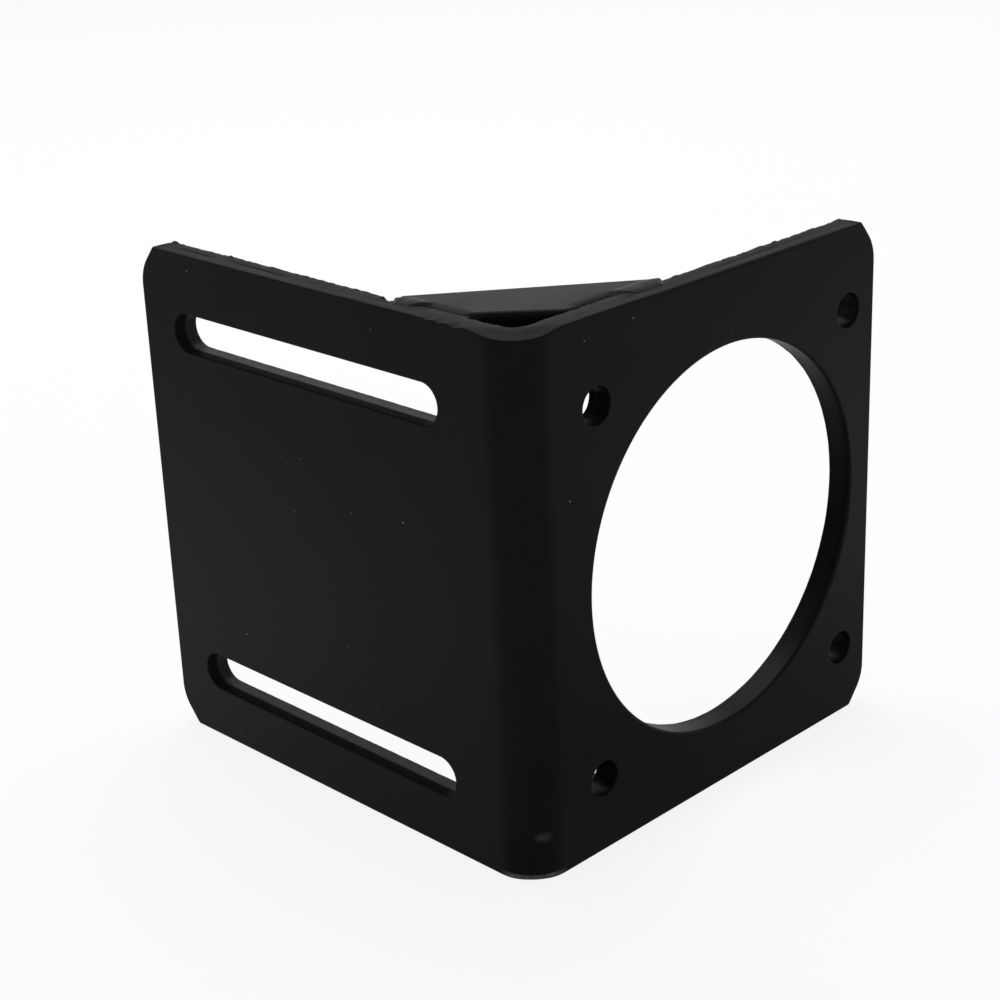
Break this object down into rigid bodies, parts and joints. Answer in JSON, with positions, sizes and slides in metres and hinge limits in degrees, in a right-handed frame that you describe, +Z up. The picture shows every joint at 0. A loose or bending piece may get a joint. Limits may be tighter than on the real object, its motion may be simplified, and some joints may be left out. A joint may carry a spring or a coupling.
{
  "type": "motor mounting bracket",
  "caption": "Folded steel angle bracket for a square-flange motor, with a large pilot bore, corner bolt holes, long slots and welded corner gussets.",
  "frame": {"origin": "on the pilot bore's axis, in the motor plate's inner face, where the motor's flange seats", "axes": "+X along the motor plate away from the fold; +Y from the motor plate towards the motor, along the base plate; +Z up along the fold"},
  "size_m": [0.0962, 0.099, 0.0999],
  "materials": {
    "black_coated_steel": "matte black coating",
    "black_coated_weld": "matte black coating over weld metal"
  },
  "bodies": {
    "root": {"bent_plate": "black_coated_steel", "upper_gusset": "black_coated_steel", "lower_gusset": "black_coated_steel", "upper_base_weld": "black_coated_weld", "upper_motor_weld": "black_coated_weld", "lower_base_weld": "black_coated_weld", "lower_motor_weld": "black_coated_weld"}
  },
  "joints": []
}
